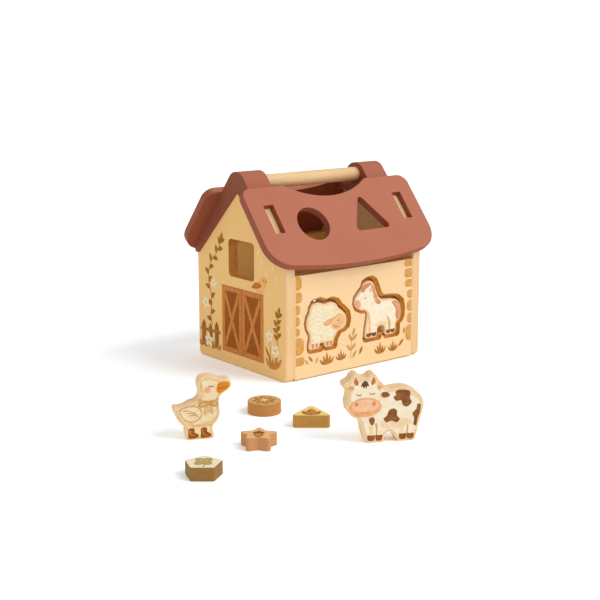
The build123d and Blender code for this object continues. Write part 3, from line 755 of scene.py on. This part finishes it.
def inset(loop, distance):
    """The loop moved inwards, without the points that would cross over."""
    points = even(loop)
    count = len(points)
    kept = []
    for i in range(count):
        a, b = points[i - 1], points[(i + 1) % count]
        length = math.hypot(b[0] - a[0], b[1] - a[1]) or 1.0
        x = points[i][0] - (b[1] - a[1]) / length * distance
        y = points[i][1] + (b[0] - a[0]) / length * distance
        nearest = min(math.hypot(x - u, y - v) for u, v in points)
        if nearest > distance * 0.93:
            kept.append((x, y))
    return kept


def inside(loop, x, y):
    """Whether a point lies within a closed outline."""
    crossings = 0
    for (x0, y0), (x1, y1) in zip(loop, loop[1:] + loop[:1]):
        if (y0 > y) != (y1 > y) and x < x0 + (x1 - x0) * (y - y0) / (y1 - y0):
            crossings += 1
    return crossings % 2 == 1


def hooves(sheet, spots, top, ink="hoof"):
    """Rounded hooves, each from x0 to x1."""
    low = 1.9
    for x0, x1 in spots:
        mid = (x0 + x1) / 2
        sheet.put(ink, smooth([(x0, top), (mid, top - 0.2), (x1, top), (x1, low + 1.4),
                               (mid + 1.4, low), (mid - 1.4, low), (x0, low + 1.4)], steps=4), 4)


def closed_eye(sheet, x, y, size, ink="line_dark"):
    """Curved lid with two lashes."""
    sheet.stroke(ink, 8, 0.55, 0.45, (x - size, y + 0.2), (x - size * 0.3, y - 0.6),
                 (x + size * 0.5, y - 0.5), (x + size, y + 0.5))
    sheet.put(ink, bar(x - 0.2, y - 0.5, x - 0.4, y - 1.4, 0.4), 8)
    sheet.put(ink, bar(x + size * 0.6, y - 0.3, x + size * 0.9, y - 1.1, 0.4), 8)


def coat_of(sheet, loop, fill="coat", line=None):
    """Colour of the whole face up to its rim, with a darker edge and, if named, a line."""
    sheet.put("coat_shade", inset(loop, 0.5), 0)
    if line:
        sheet.put(line, inset(loop, 1.1), 1)
        sheet.put(fill, inset(loop, 1.6), 2)
    else:
        sheet.put(fill, inset(loop, 1.4), 1)


def turned(degrees):
    """Direction across a piece that is turned on the table."""
    angle = math.radians(degrees)
    return math.cos(angle), math.sin(angle), 0


def animal_sheet(node, place, across):
    """Empty sheet on an animal's printed side, and that side's outline."""
    sheet = Sheet(node + "_print", place, across, UP, node + "_piece", "cream_animal_wood")
    return sheet, rim_of(node, sheet)


def sheep_print():
    """Curly fleece, face, ear and hooves."""
    sheet, loop = animal_sheet("sheep", SHEEP_PLACE, FLAP_PIECE_ACROSS)
    coat_of(sheet, loop, "wool")
    fleece = inset(loop, 4.4)
    curl = 2.6
    for row in range(9):
        for column in range(-6, 7):
            turn = (column * 47 + row * 31) % 60 - 30
            u = 4.7 * column + (2.35 if row % 2 else 0.0) + turn * 0.02
            v = 6.6 + 4.9 * row + 1.6 * math.sin(0.35 * u)
            if not inside(fleece, u, v):
                continue
            sheet.put("wool_light", ellipse(u, v, 2.9, 2.6, turn), 2)
            angles = [math.radians(a + turn) for a in (195, 235, 275, 315, 350)]
            arc = [(u + curl * math.cos(a), v + curl * math.sin(a)) for a in angles]
            sheet.stroke("wool_line", 3, 0.5, 0.25, *arc)
    sheet.blob("peach_light", 4, (6.0, 24.5), (7.0, 19.6), (12.0, 17.6), (18.5, 18.6), (24.0, 21.8),
               (25.6, 26.6), (23.4, 31.6), (17.6, 35.0), (11.0, 34.0), (7.2, 30.0))
    sheet.blob("peach", 5, (7.6, 22.4), (12.4, 18.8), (18.0, 19.4), (16.0, 21.4), (11.0, 23.0))
    sheet.blob("wool", 5, (6.0, 33.0), (10.0, 37.5), (16.8, 37.6), (19.0, 34.8), (14.0, 33.8),
               (9.6, 31.6))
    sheet.put("peach", leaf(7.4, 29.4, -5.0, 25.6, 6.2, bend=1.0), 6)
    sheet.put("blush", leaf(5.6, 28.6, -3.2, 26.2, 3.2, bend=0.6), 7)
    sheet.stroke("line_brown", 6, 0.5, 0.4, (6.6, 30.2), (11.6, 31.4), (17.6, 35.2))
    closed_eye(sheet, 15.8, 27.8, 1.8, "line_brown")
    sheet.put("blush", ellipse(18.6, 23.8, 2.2, 1.6), 6)
    hooves(sheet, ((-20.6, -17.2), (-15.4, -11.8)), 6.6, "hoof_light")
    hooves(sheet, ((-0.6, 2.8), (4.0, 7.4)), 6.6, "hoof_light")
    sheet.make()


def horse_print():
    """Mane, tail, muzzle, washes and hooves."""
    sheet, loop = animal_sheet("horse", HORSE_PLACE, FLAP_PIECE_ACROSS)
    coat_of(sheet, loop)
    sheet.blob("mane", 3, (-24.6, 54.0), (-22.4, 59.6), (-16.6, 62.0), (-10.4, 61.4), (-12.4, 58.6),
               (-17.6, 56.4), (-21.6, 53.0))
    sheet.blob("mane", 3, (-9.0, 60.0), (-5.6, 55.0), (-3.0, 48.6), (-0.6, 43.4), (4.0, 38.8),
               (1.0, 36.8), (-3.4, 38.8), (-6.4, 44.4), (-7.8, 51.0), (-10.4, 57.0))
    for dy in (0.0, 6.0, 12.0):
        sheet.stroke("peach_light", 4, 0.7, 0.4, (-8.4 + dy * 0.28, 56.0 - dy),
                     (-5.8 + dy * 0.3, 52.0 - dy), (-4.8 + dy * 0.32, 48.6 - dy))
    sheet.blob("mane", 3, (20.4, 36.4), (26.8, 37.2), (31.4, 33.0), (33.0, 26.0), (32.2, 18.4),
               (28.6, 15.6), (26.6, 20.6), (26.4, 27.4), (23.4, 32.4))
    sheet.stroke("peach_light", 4, 1.1, 0.5, (24.6, 35.2), (28.8, 31.0), (30.0, 24.0), (29.4, 18.6))
    sheet.stroke("peach_light", 4, 0.7, 0.4, (26.8, 34.8), (31.0, 29.6), (31.6, 24.0))
    sheet.put("blush", ellipse(-29.4, 40.4, 4.0, 4.8, 20), 3)
    sheet.put("pink", ellipse(-29.8, 38.0, 2.2, 1.9, 20), 4)
    sheet.put("hoof_light", ellipse(-31.2, 40.6, 0.7, 0.9), 5)
    sheet.put("peach_light", leaf(-12.6, 56.6, -10.8, 50.8, 2.6), 5)
    closed_eye(sheet, -19.6, 46.6, 1.9, "line_brown")
    sheet.blob("peach_light", 3, (-13.4, 30.0), (-13.8, 18.0), (-13.2, 6.4), (-10.4, 6.4),
               (-10.6, 18.0))
    sheet.blob("peach", 3, (14.0, 22.0), (15.6, 14.0), (15.8, 6.4), (18.4, 6.4), (18.4, 15.0))
    sheet.blob("coat_shade", 3, (-6.0, 13.4), (2.0, 16.4), (12.0, 15.4), (12.4, 12.6), (3.0, 13.2))
    sheet.stroke("coat_shade", 3, 1.4, 0.6, (-12.0, 36.0), (-6.4, 39.6), (-4.4, 44.0))
    hooves(sheet, ((-16.6, -9.6), (-8.8, -2.4)), 6.0)
    hooves(sheet, ((12.8, 18.4), (19.2, 25.2)), 6.0)
    sheet.make()


def cow_print():
    """Washes, patches, head and hooves."""
    sheet, loop = animal_sheet("cow", COW_PLACE, turned(COW_TURN))
    coat_of(sheet, loop, line="peach_light")
    sheet.blob("coat_wash", 3, (-4.0, 19.0), (-2.4, 13.6), (4.0, 16.8), (12.0, 17.0), (20.0, 14.6),
               (24.0, 18.0), (16.0, 21.2), (8.0, 20.6), (0.6, 19.4))
    sheet.blob("coat_wash", 3, (-14.4, 20.0), (-13.6, 8.4), (-11.4, 8.2), (-11.4, 14.0),
               (-12.0, 20.6))
    sheet.blob("coat_wash", 3, (14.8, 18.0), (14.4, 8.4), (16.4, 8.4), (17.2, 13.6), (17.0, 18.4))
    sheet.blob("coat_wash", 3, (20.0, 44.6), (27.6, 42.6), (32.0, 37.4), (33.4, 32.0), (31.4, 34.4),
               (27.6, 39.4), (22.6, 42.4))
    sheet.blob("cow_patch", 4, (8.4, 45.6), (12.6, 47.4), (19.0, 46.8), (22.6, 44.6), (22.0, 39.8),
               (23.6, 35.2), (19.6, 31.6), (15.6, 33.4), (14.2, 37.6), (9.8, 37.4), (7.2, 40.8),
               (9.6, 43.2))
    sheet.blob("cow_patch", 4, (-3.2, 45.8), (0.6, 46.0), (3.6, 44.0), (2.6, 41.6), (-1.6, 41.0),
               (-4.0, 43.0))
    sheet.blob("cow_patch", 4, (-1.6, 21.6), (1.4, 24.2), (3.0, 28.8), (7.2, 30.6), (10.4, 28.2),
               (10.6, 23.8), (13.2, 20.6), (10.2, 17.8), (5.4, 19.4), (1.0, 18.2))
    sheet.blob("cow_patch", 4, (32.0, 33.2), (31.8, 27.0), (29.6, 20.4), (28.2, 14.0), (25.8, 15.2),
               (26.4, 20.6), (24.8, 25.0), (28.2, 29.0), (29.0, 33.0))
    sheet.blob("cow_patch", 4, (-14.8, 22.4), (-11.4, 23.8), (-9.6, 20.8), (-11.4, 16.2),
               (-14.0, 18.4))
    sheet.blob("coat_shade", 4, (-31.6, 38.0), (-31.4, 47.0), (-29.0, 54.0), (-23.6, 57.6),
               (-17.8, 57.8), (-12.0, 57.0), (-7.0, 53.4), (-4.8, 46.6), (-4.6, 38.0),
               (-18.0, 34.0))
    sheet.blob("coat", 5, (-29.8, 38.0), (-29.8, 47.0), (-27.6, 52.8), (-23.0, 56.0), (-17.8, 56.4),
               (-12.6, 55.4), (-8.4, 52.2), (-6.4, 46.6), (-6.4, 38.0), (-18.0, 34.0))
    for x1, z1 in ((-22.4, 51.6), (-20.2, 50.0), (-17.6, 50.2), (-15.4, 51.8)):
        sheet.put("patch", leaf(-18.6, 57.2, x1, z1, 2.3), 6)
    sheet.put("muzzle", ellipse(-18.2, 33.1, 14.6, 8.8), 7)
    sheet.put("muzzle_light", ellipse(-18.2, 34.4, 12.2, 6.0), 8)
    for x in (-26.4, -10.6):
        sheet.put("nostril", ellipse(x, 36.2, 1.5, 1.9), 9)
    sheet.stroke("nostril", 9, 0.6, 0.5, (-22.4, 29.4), (-18.2, 28.2), (-14.0, 29.4))
    closed_eye(sheet, -24.3, 45.0, 2.3)
    closed_eye(sheet, -12.2, 45.4, 2.3)
    sheet.put("horn", leaf(-25.6, 53.0, -27.2, 60.6, 3.8, bend=0.6), 6)
    sheet.put("horn", leaf(-12.4, 53.0, -11.2, 60.2, 3.8, bend=-0.6), 6)
    for root, tip in ((-28.2, -36.0), (-8.0, -1.8)):
        sheet.put("peach_light", leaf(root, 50.4, tip, 51.8, 5.4), 6)
        sheet.put("peach", leaf(root, 50.4, (root + 3 * tip) / 4, 51.4, 3.0), 7)
    sheet.stroke("duck_line", 3, 1.8, 1.0, (-8.6, 18.0), (-7.6, 12.0), (-8.0, 7.0))
    sheet.stroke("duck_line", 3, 1.6, 1.0, (19.6, 20.0), (20.4, 13.0), (20.0, 7.0))
    sheet.blob("coat_shade", 3, (-1.0, 13.0), (4.0, 16.8), (12.0, 16.6), (18.0, 14.4), (12.0, 12.4),
               (4.0, 12.2))
    hooves(sheet, ((-16.0, -9.6), (-8.8, -2.8)), 7.0, "cow_hoof")
    hooves(sheet, ((12.8, 19.0), (19.8, 26.0)), 7.0, "cow_hoof")
    sheet.make()


def duck_print():
    """Washes, beak, wing, feathers, a plain bow and two plain boots."""
    sheet, loop = animal_sheet("duck", DUCK_PLACE, turned(DUCK_TURN))
    coat_of(sheet, loop, "duck_coat", "duck_line")
    sheet.blob("duck_wash", 3, (-22.0, 25.0), (-18.4, 19.6), (-14.6, 15.4), (-12.0, 12.4),
               (-3.0, 11.2), (5.0, 12.4), (10.4, 15.8), (12.4, 21.0), (9.0, 18.4), (2.0, 15.4),
               (-7.0, 14.8), (-14.0, 18.4), (-18.4, 24.4))
    sheet.blob("duck_wash", 3, (-0.6, 52.0), (-1.8, 46.0), (-0.6, 39.6), (1.6, 38.8), (0.8, 46.0))
    sheet.blob("orange", 4, (12.8, 46.4), (14.4, 50.8), (19.0, 52.0), (23.2, 50.6), (24.2, 47.8),
               (21.2, 44.6), (15.8, 41.6), (12.8, 43.0))
    sheet.stroke("boot", 5, 0.6, 0.4, (13.4, 46.0), (18.4, 46.2), (23.6, 48.6))
    sheet.put("amber", leaf(15.4, 49.6, 22.0, 49.8, 1.8), 5)
    sheet.put("blush", ellipse(4.6, 44.6, 2.8, 2.6), 4)
    closed_eye(sheet, 7.6, 48.6, 2.3)
    wing = [(-21.0, 27.4), (-15.0, 31.0), (-6.6, 31.2), (-1.4, 27.4), (-1.2, 21.6), (-5.4, 17.0),
            (-12.0, 16.4), (-18.0, 20.4)]
    sheet.blob("duck_line", 4, *wing)
    feathers = [(x * 0.9 - 1.1, 23.8 + (y - 23.8) * 0.86) for x, y in wing]
    sheet.blob("duck_coat", 5, *feathers)
    for k in range(4):
        sheet.stroke("duck_line", 4, 0.7, 0.3, (-10.0 + 4.6 * k, 13.4 - 0.3 * k),
                     (-6.6 + 4.6 * k, 12.2), (-3.4 + 4.4 * k, 13.6))
    for k in range(3):
        sheet.stroke("duck_line", 6, 0.9, 0.5, (-17.6 + 3.0 * k, 27.4 - 2.4 * k),
                     (-11.6 + 2.2 * k, 26.6 - 2.0 * k), (-6.4 + 1.4 * k, 24.0 - 1.6 * k))
    # Bow round the neck.
    sheet.blob("scarf", 6, (-3.6, 37.6), (2.6, 35.4), (8.8, 35.2), (13.8, 37.2), (14.0, 34.8),
               (9.0, 32.4), (2.4, 32.6), (-3.8, 35.0))
    sheet.put("scarf", leaf(4.8, 32.4, 0.8, 21.6, 4.6, bend=0.8), 6)
    sheet.put("scarf", leaf(5.6, 32.4, 9.4, 22.0, 4.4, bend=-0.8), 6)
    sheet.put("bow", ellipse(0.6, 32.4, 4.8, 3.0, 16), 7)
    sheet.put("bow", ellipse(9.8, 32.4, 4.6, 3.0, -16), 7)
    sheet.put("scarf", ellipse(0.2, 32.3, 2.6, 1.4, 16), 8)
    sheet.put("scarf", ellipse(10.2, 32.3, 2.6, 1.4, -16), 8)
    sheet.put("duck_line", ellipse(5.2, 32.4, 1.6, 2.1), 8)
    # Boots.
    for x in (-14.0, -2.8):
        sheet.put("boot", smooth([(x + 1.4, 10.4), (x + 6.0, 10.6), (x + 6.4, 6.8), (x + 9.4, 4.8),
                                  (x + 9.6, 2.2), (x + 5.0, 1.4), (x + 0.8, 1.6), (x + 0.8, 6.0)],
                                 steps=4), 4)
        sheet.stroke("amber", 5, 1.3, 0.6, (x + 2.6, 9.0), (x + 2.8, 5.2), (x + 7.4, 3.4))
    sheet.make()


sheep_print()
horse_print()
cow_print()
duck_print()


# Sorting blocks: stained wood with one small motif on top of each.
BLOCKS = {
    # Slot and place, then a light and a dark tone for the top and for the sides.
    "circle": ("tan_wood", (-170.8, -142.1, BLOCK_TOP),
               (rgb(230, 180, 120), rgb(214, 160, 100)), (rgb(206, 150, 88), rgb(184, 128, 68))),
    "star": ("peach_wood", (-234.3, -217.8, BLOCK_TOP),
             (rgb(242, 194, 142), rgb(230, 176, 122)), (rgb(216, 158, 106), rgb(196, 138, 86))),
    "triangle": ("yellow_wood", (-159.4, -198.9, BLOCK_TOP),
                 (rgb(255, 226, 150), rgb(248, 212, 126)), (rgb(208, 160, 84), rgb(186, 138, 66))),
    "pentagon": ("pale_wood", (-312.5, -247.3, BLOCK_TOP),
                 (rgb(253, 242, 212), rgb(244, 228, 188)), (rgb(164, 124, 66), rgb(142, 104, 48))),
}


def circle_motif(sheet):
    """Flower with eight petals."""
    leaves = ("tan_line", 1.5, 9.6, 4.6, 0), ("stone", 2.2, 8.4, 3.0, 1)
    for i in range(8):
        angle = math.radians(45 * i + 12)
        for ink, root, tip, width, layer in leaves:
            sheet.put(ink, leaf(root * math.cos(angle), root * math.sin(angle) - 0.5,
                                tip * math.cos(angle), tip * math.sin(angle) - 0.5, width), layer)
    sheet.put("petal_shade", ellipse(0, -0.5, 2.7, 2.7), 2)


def star_motif(sheet):
    """Acorn."""
    sheet.blob("leaf_brown", 0, (-3.4, -0.4), (0, 0.8), (3.4, -0.4), (2.8, -5.0), (0, -7.6),
               (-2.8, -5.0))
    sheet.blob("amber", 1, (-2.4, -1.4), (0, -0.6), (2.4, -1.4), (1.8, -4.8), (0, -6.4),
               (-1.8, -4.8))
    sheet.blob("boot", 2, (-4.4, -0.2), (-2.8, 2.6), (0, 3.4), (2.8, 2.6), (4.4, -0.2), (0, 0.6))
    sheet.stroke("boot", 2, 1.1, 0.8, (0, 3.0), (0.6, 5.8))


def triangle_motif(sheet):
    """Three leaves from one root."""
    for tip_x, tip_y in ((-7.2, 0.6), (0, 6.6), (7.2, 0.6)):
        sheet.put("boot", leaf(0, -6.2, tip_x, tip_y, 6.6), 0)
        sheet.put("amber", leaf(tip_x * 0.1, -5.2, tip_x * 0.88, tip_y * 0.84, 4.4), 1)
    sheet.put("boot", ellipse(0, -6.0, 1.6, 1.3), 2)


def pentagon_motif(sheet):
    """Clover with four leaves."""
    for degrees in (45, 135, 225, 315):
        angle = math.radians(degrees)
        x, y = 3.7 * math.cos(angle), 3.7 * math.sin(angle) + 0.4
        sheet.put("olive", ellipse(x, y, 3.7, 3.3, degrees), 0)
        sheet.stroke("pale_dash", 1, 0.6, 0.3, (0.8 * math.cos(angle), 0.8 * math.sin(angle) + 0.4),
                     (x * 1.4, y * 1.4))
    sheet.stroke("olive", 0, 1.1, 0.9, (0, 0), (1.2, -5.0), (0.2, -9.0))


def finish_block(shape, motif):
    """Stain of one block, and its motif stretched over its top."""
    slot_name, place, top, side = BLOCKS[shape]
    stain = printed_wood(shape + "_block_wood", top, side, "Z", 1, limit=0.8)
    assign(stain.material, shape + "_block")
    across = turned(BLOCK_TURN)
    up = (-across[1], across[0], 0)
    sheet = Sheet(shape + "_motif", place, across, up, shape + "_piece", slot_name)
    sheet.across *= MOTIF_STRETCH[0]
    sheet.up *= MOTIF_STRETCH[1]
    motif(sheet)
    sheet.make()


finish_block("circle", circle_motif)
finish_block("star", star_motif)
finish_block("triangle", triangle_motif)
finish_block("pentagon", pentagon_motif)


# Studio: white floor and backdrop, a soft key from the right and broad fill.
def by_camera_ray(tree, other, seen, output):
    """What the camera sees of a surface or the world, and what every other ray meets."""
    ray = tree.nodes.new("ShaderNodeLightPath")
    either = tree.nodes.new("ShaderNodeMixShader")
    tree.links.new(ray.outputs["Is Camera Ray"], either.inputs[0])
    tree.links.new(other, either.inputs[1])
    tree.links.new(seen, either.inputs[2])
    tree.links.new(either.outputs[0], output.inputs["Surface"])


def output_only(tree, kind):
    """Empties a node tree and gives it a new output."""
    tree.nodes.clear()
    return tree.nodes.new(kind)


def diffuse(tree, colour):
    """Plain matte look."""
    node = tree.nodes.new("ShaderNodeBsdfDiffuse")
    node.inputs["Color"].default_value = colour
    return node.outputs[0]


def background(tree, colour, strength):
    """Even light of the world."""
    node = tree.nodes.new("ShaderNodeBackground")
    node.inputs["Color"].default_value = colour
    node.inputs["Strength"].default_value = strength
    return node.outputs[0]


# The camera sees a white sweep that keeps its shadows; the pieces get less light from it.
FLOOR_HALF = 6
floor_material = bpy.data.materials.new("studio_floor")
floor_material.use_nodes = True
tree = floor_material.node_tree
output = output_only(tree, "ShaderNodeOutputMaterial")
bounced = diffuse(tree, (1.16, 1.16, 1.16, 1))
seen = diffuse(tree, (1.36, 1.45, 1.53, 1))
by_camera_ray(tree, bounced, seen, output)
corners = [(x * FLOOR_HALF, y * FLOOR_HALF, 0) for x, y in ((-1, -1), (1, -1), (1, 1), (-1, 1))]
floor_mesh = bpy.data.meshes.new("studio_floor")
floor_mesh.from_pydata(corners, [], [(0, 1, 2, 3)])
floor_mesh.materials.append(floor_material)
made = linked(floor_mesh)

world = bpy.data.worlds.new("studio_world")
bpy.context.scene.world = world
world.use_nodes = True
tree = world.node_tree
output = output_only(tree, "ShaderNodeOutputWorld")
sky = background(tree, (1.0, 0.985, 0.96, 1), 0.62)
backdrop = background(tree, (1, 1, 1, 1), 1.05)
by_camera_ray(tree, sky, backdrop, output)

sun_data = bpy.data.lights.new("key", "SUN")
sun_data.energy = 1.1
sun_data.angle = math.radians(32)
sun_data.color = (1.0, 0.98, 0.95)
sun_way = Vector((-0.37, 0.60, -0.707))
linked(sun_data).rotation_euler = sun_way.to_track_quat("-Z", "Y").to_euler()

# The camera that was fitted to the photograph.
CAMERA_PLACE = (-0.81838, -1.00044, 0.34134)
CAMERA_TILT, CAMERA_HEADING = -12.179, -38.848
camera_data = bpy.data.cameras.new("camera")
camera_data.sensor_fit = "HORIZONTAL"
camera_data.sensor_width = 36.0
camera_data.lens = 70.46
camera_data.clip_start = 0.05
camera_data.clip_end = 30.0
camera = linked(camera_data)
camera.location = CAMERA_PLACE
camera.rotation_euler = (math.radians(90 + CAMERA_TILT), 0.0, math.radians(CAMERA_HEADING))
bpy.context.scene.camera = camera
bpy.context.scene.view_settings.view_transform = "Standard"
